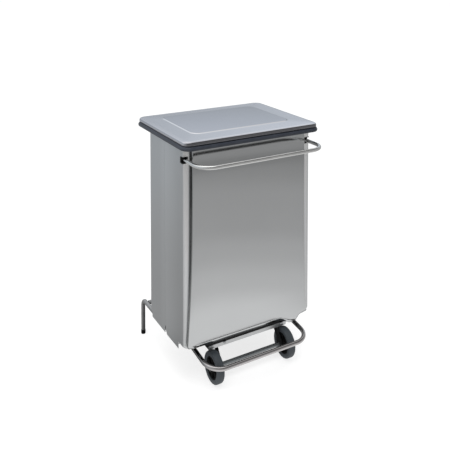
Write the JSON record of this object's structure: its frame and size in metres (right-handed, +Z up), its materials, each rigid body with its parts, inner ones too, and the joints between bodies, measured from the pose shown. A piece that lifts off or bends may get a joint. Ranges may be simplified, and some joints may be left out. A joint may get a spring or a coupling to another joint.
{
  "type": "pedal-operated mobile waste bin",
  "caption": "Stainless-steel waste bin with a sealed pedal-lifted lid, a front push handle, a lift-off front panel, rolling wheels at the front and tube feet at the back.",
  "frame": {"origin": "on the floor, at the middle of the whole footprint", "axes": "+Z up, -Y towards the front panel, handle and pedal, +X towards the bin's right side as seen from the front"},
  "size_m": [0.57, 0.526, 0.883],
  "materials": {
    "brushed_stainless": "fine vertical brushed satin sheet",
    "bright_stainless": "polished bar and tube",
    "black_steel": "black semi-matt coating",
    "black_plastic": "black moulded plastic",
    "seal_rubber": "dark blue-grey moulded rubber edge",
    "tyre_rubber": "dark grey solid rubber"
  },
  "bodies": {
    "body": {"axle": "bright_stainless", "axle_cap_left": "black_steel", "axle_cap_right": "black_steel", "bag_ring": "bright_stainless", "base_tray": "brushed_stainless", "base_tube_left": "bright_stainless", "base_tube_right": "bright_stainless", "channel_lip": "brushed_stainless", "channel_screw_left": "bright_stainless", "channel_screw_right": "bright_stainless", "chassis_gusset_left": "black_steel", "chassis_gusset_right": "black_steel", "cross_channel": "black_steel", "foot_cap_left": "black_plastic", "foot_cap_right": "black_plastic", "front_casing_left": "brushed_stainless", "front_casing_right": "brushed_stainless", "front_panel": "brushed_stainless", "handle": "bright_stainless", "handle_clamp_left": "black_steel", "handle_clamp_right": "black_steel", "handle_grommet_left": "black_plastic", "handle_grommet_right": "black_plastic", "hinge_arm_left": "brushed_stainless", "hinge_arm_right": "brushed_stainless", "lid_hinge_pin": "bright_stainless", "panel_top_rail": "brushed_stainless", "pedal_pivot_rod": "bright_stainless", "pivot_bracket_left": "black_steel", "pivot_bracket_right": "black_steel", "rear_casing": "brushed_stainless", "rear_cross_tube": "bright_stainless", "ring_bracket_left": "brushed_stainless", "ring_bracket_right": "brushed_stainless", "rod_guide": "brushed_stainless", "top_rim": "brushed_stainless", "wheel_bracket_left": "black_steel", "wheel_bracket_right": "black_steel"},
    "lid": {"lid_shell": "brushed_stainless", "lid_seal": "seal_rubber", "lid_lever_left": "brushed_stainless", "lid_lever_right": "brushed_stainless", "lid_hinge_plate": "brushed_stainless", "lift_rod_pin": "bright_stainless"},
    "lift_rod": {"lift_rod": "bright_stainless", "lift_rod_eye": "bright_stainless"},
    "pedal": {"pedal_loop": "bright_stainless", "pedal_cross_tube": "bright_stainless", "pedal_lever": "bright_stainless"},
    "wheel_left": {"tyre_left": "tyre_rubber", "hub_left": "black_plastic"},
    "wheel_right": {"tyre_right": "tyre_rubber", "hub_right": "black_plastic"}
  },
  "joints": [
    {"name": "lid_hinge", "type": "hinge", "parent": "body", "child": "lid", "pos_m": [0, 0.218, 0.84], "axis": [-1, 0, 0], "range_deg": [0, 70]},
    {"name": "pedal_pivot", "type": "hinge", "parent": "body", "child": "pedal", "pos_m": [0, 0.006, 0.1215], "axis": [1, 0, 0], "range_deg": [0, 14.7]},
    {"name": "lift_rod_pivot", "type": "hinge", "parent": "lid", "child": "lift_rod", "pos_m": [0, 0.173, 0.84], "axis": [1, 0, 0], "range_deg": [0, 67.8]},
    {"name": "wheel_left_spin", "type": "hinge", "parent": "body", "child": "wheel_left", "pos_m": [-0.1505, -0.148, 0.055], "axis": [1, 0, 0], "continuous": true},
    {"name": "wheel_right_spin", "type": "hinge", "parent": "body", "child": "wheel_right", "pos_m": [0.1505, -0.148, 0.055], "axis": [1, 0, 0], "continuous": true}
  ],
  "couplings": [
    {"joint": "pedal_pivot", "follows": "lid_hinge", "ratio": 0.20857},
    {"joint": "lift_rod_pivot", "follows": "lid_hinge", "ratio": 0.96714}
  ]
}
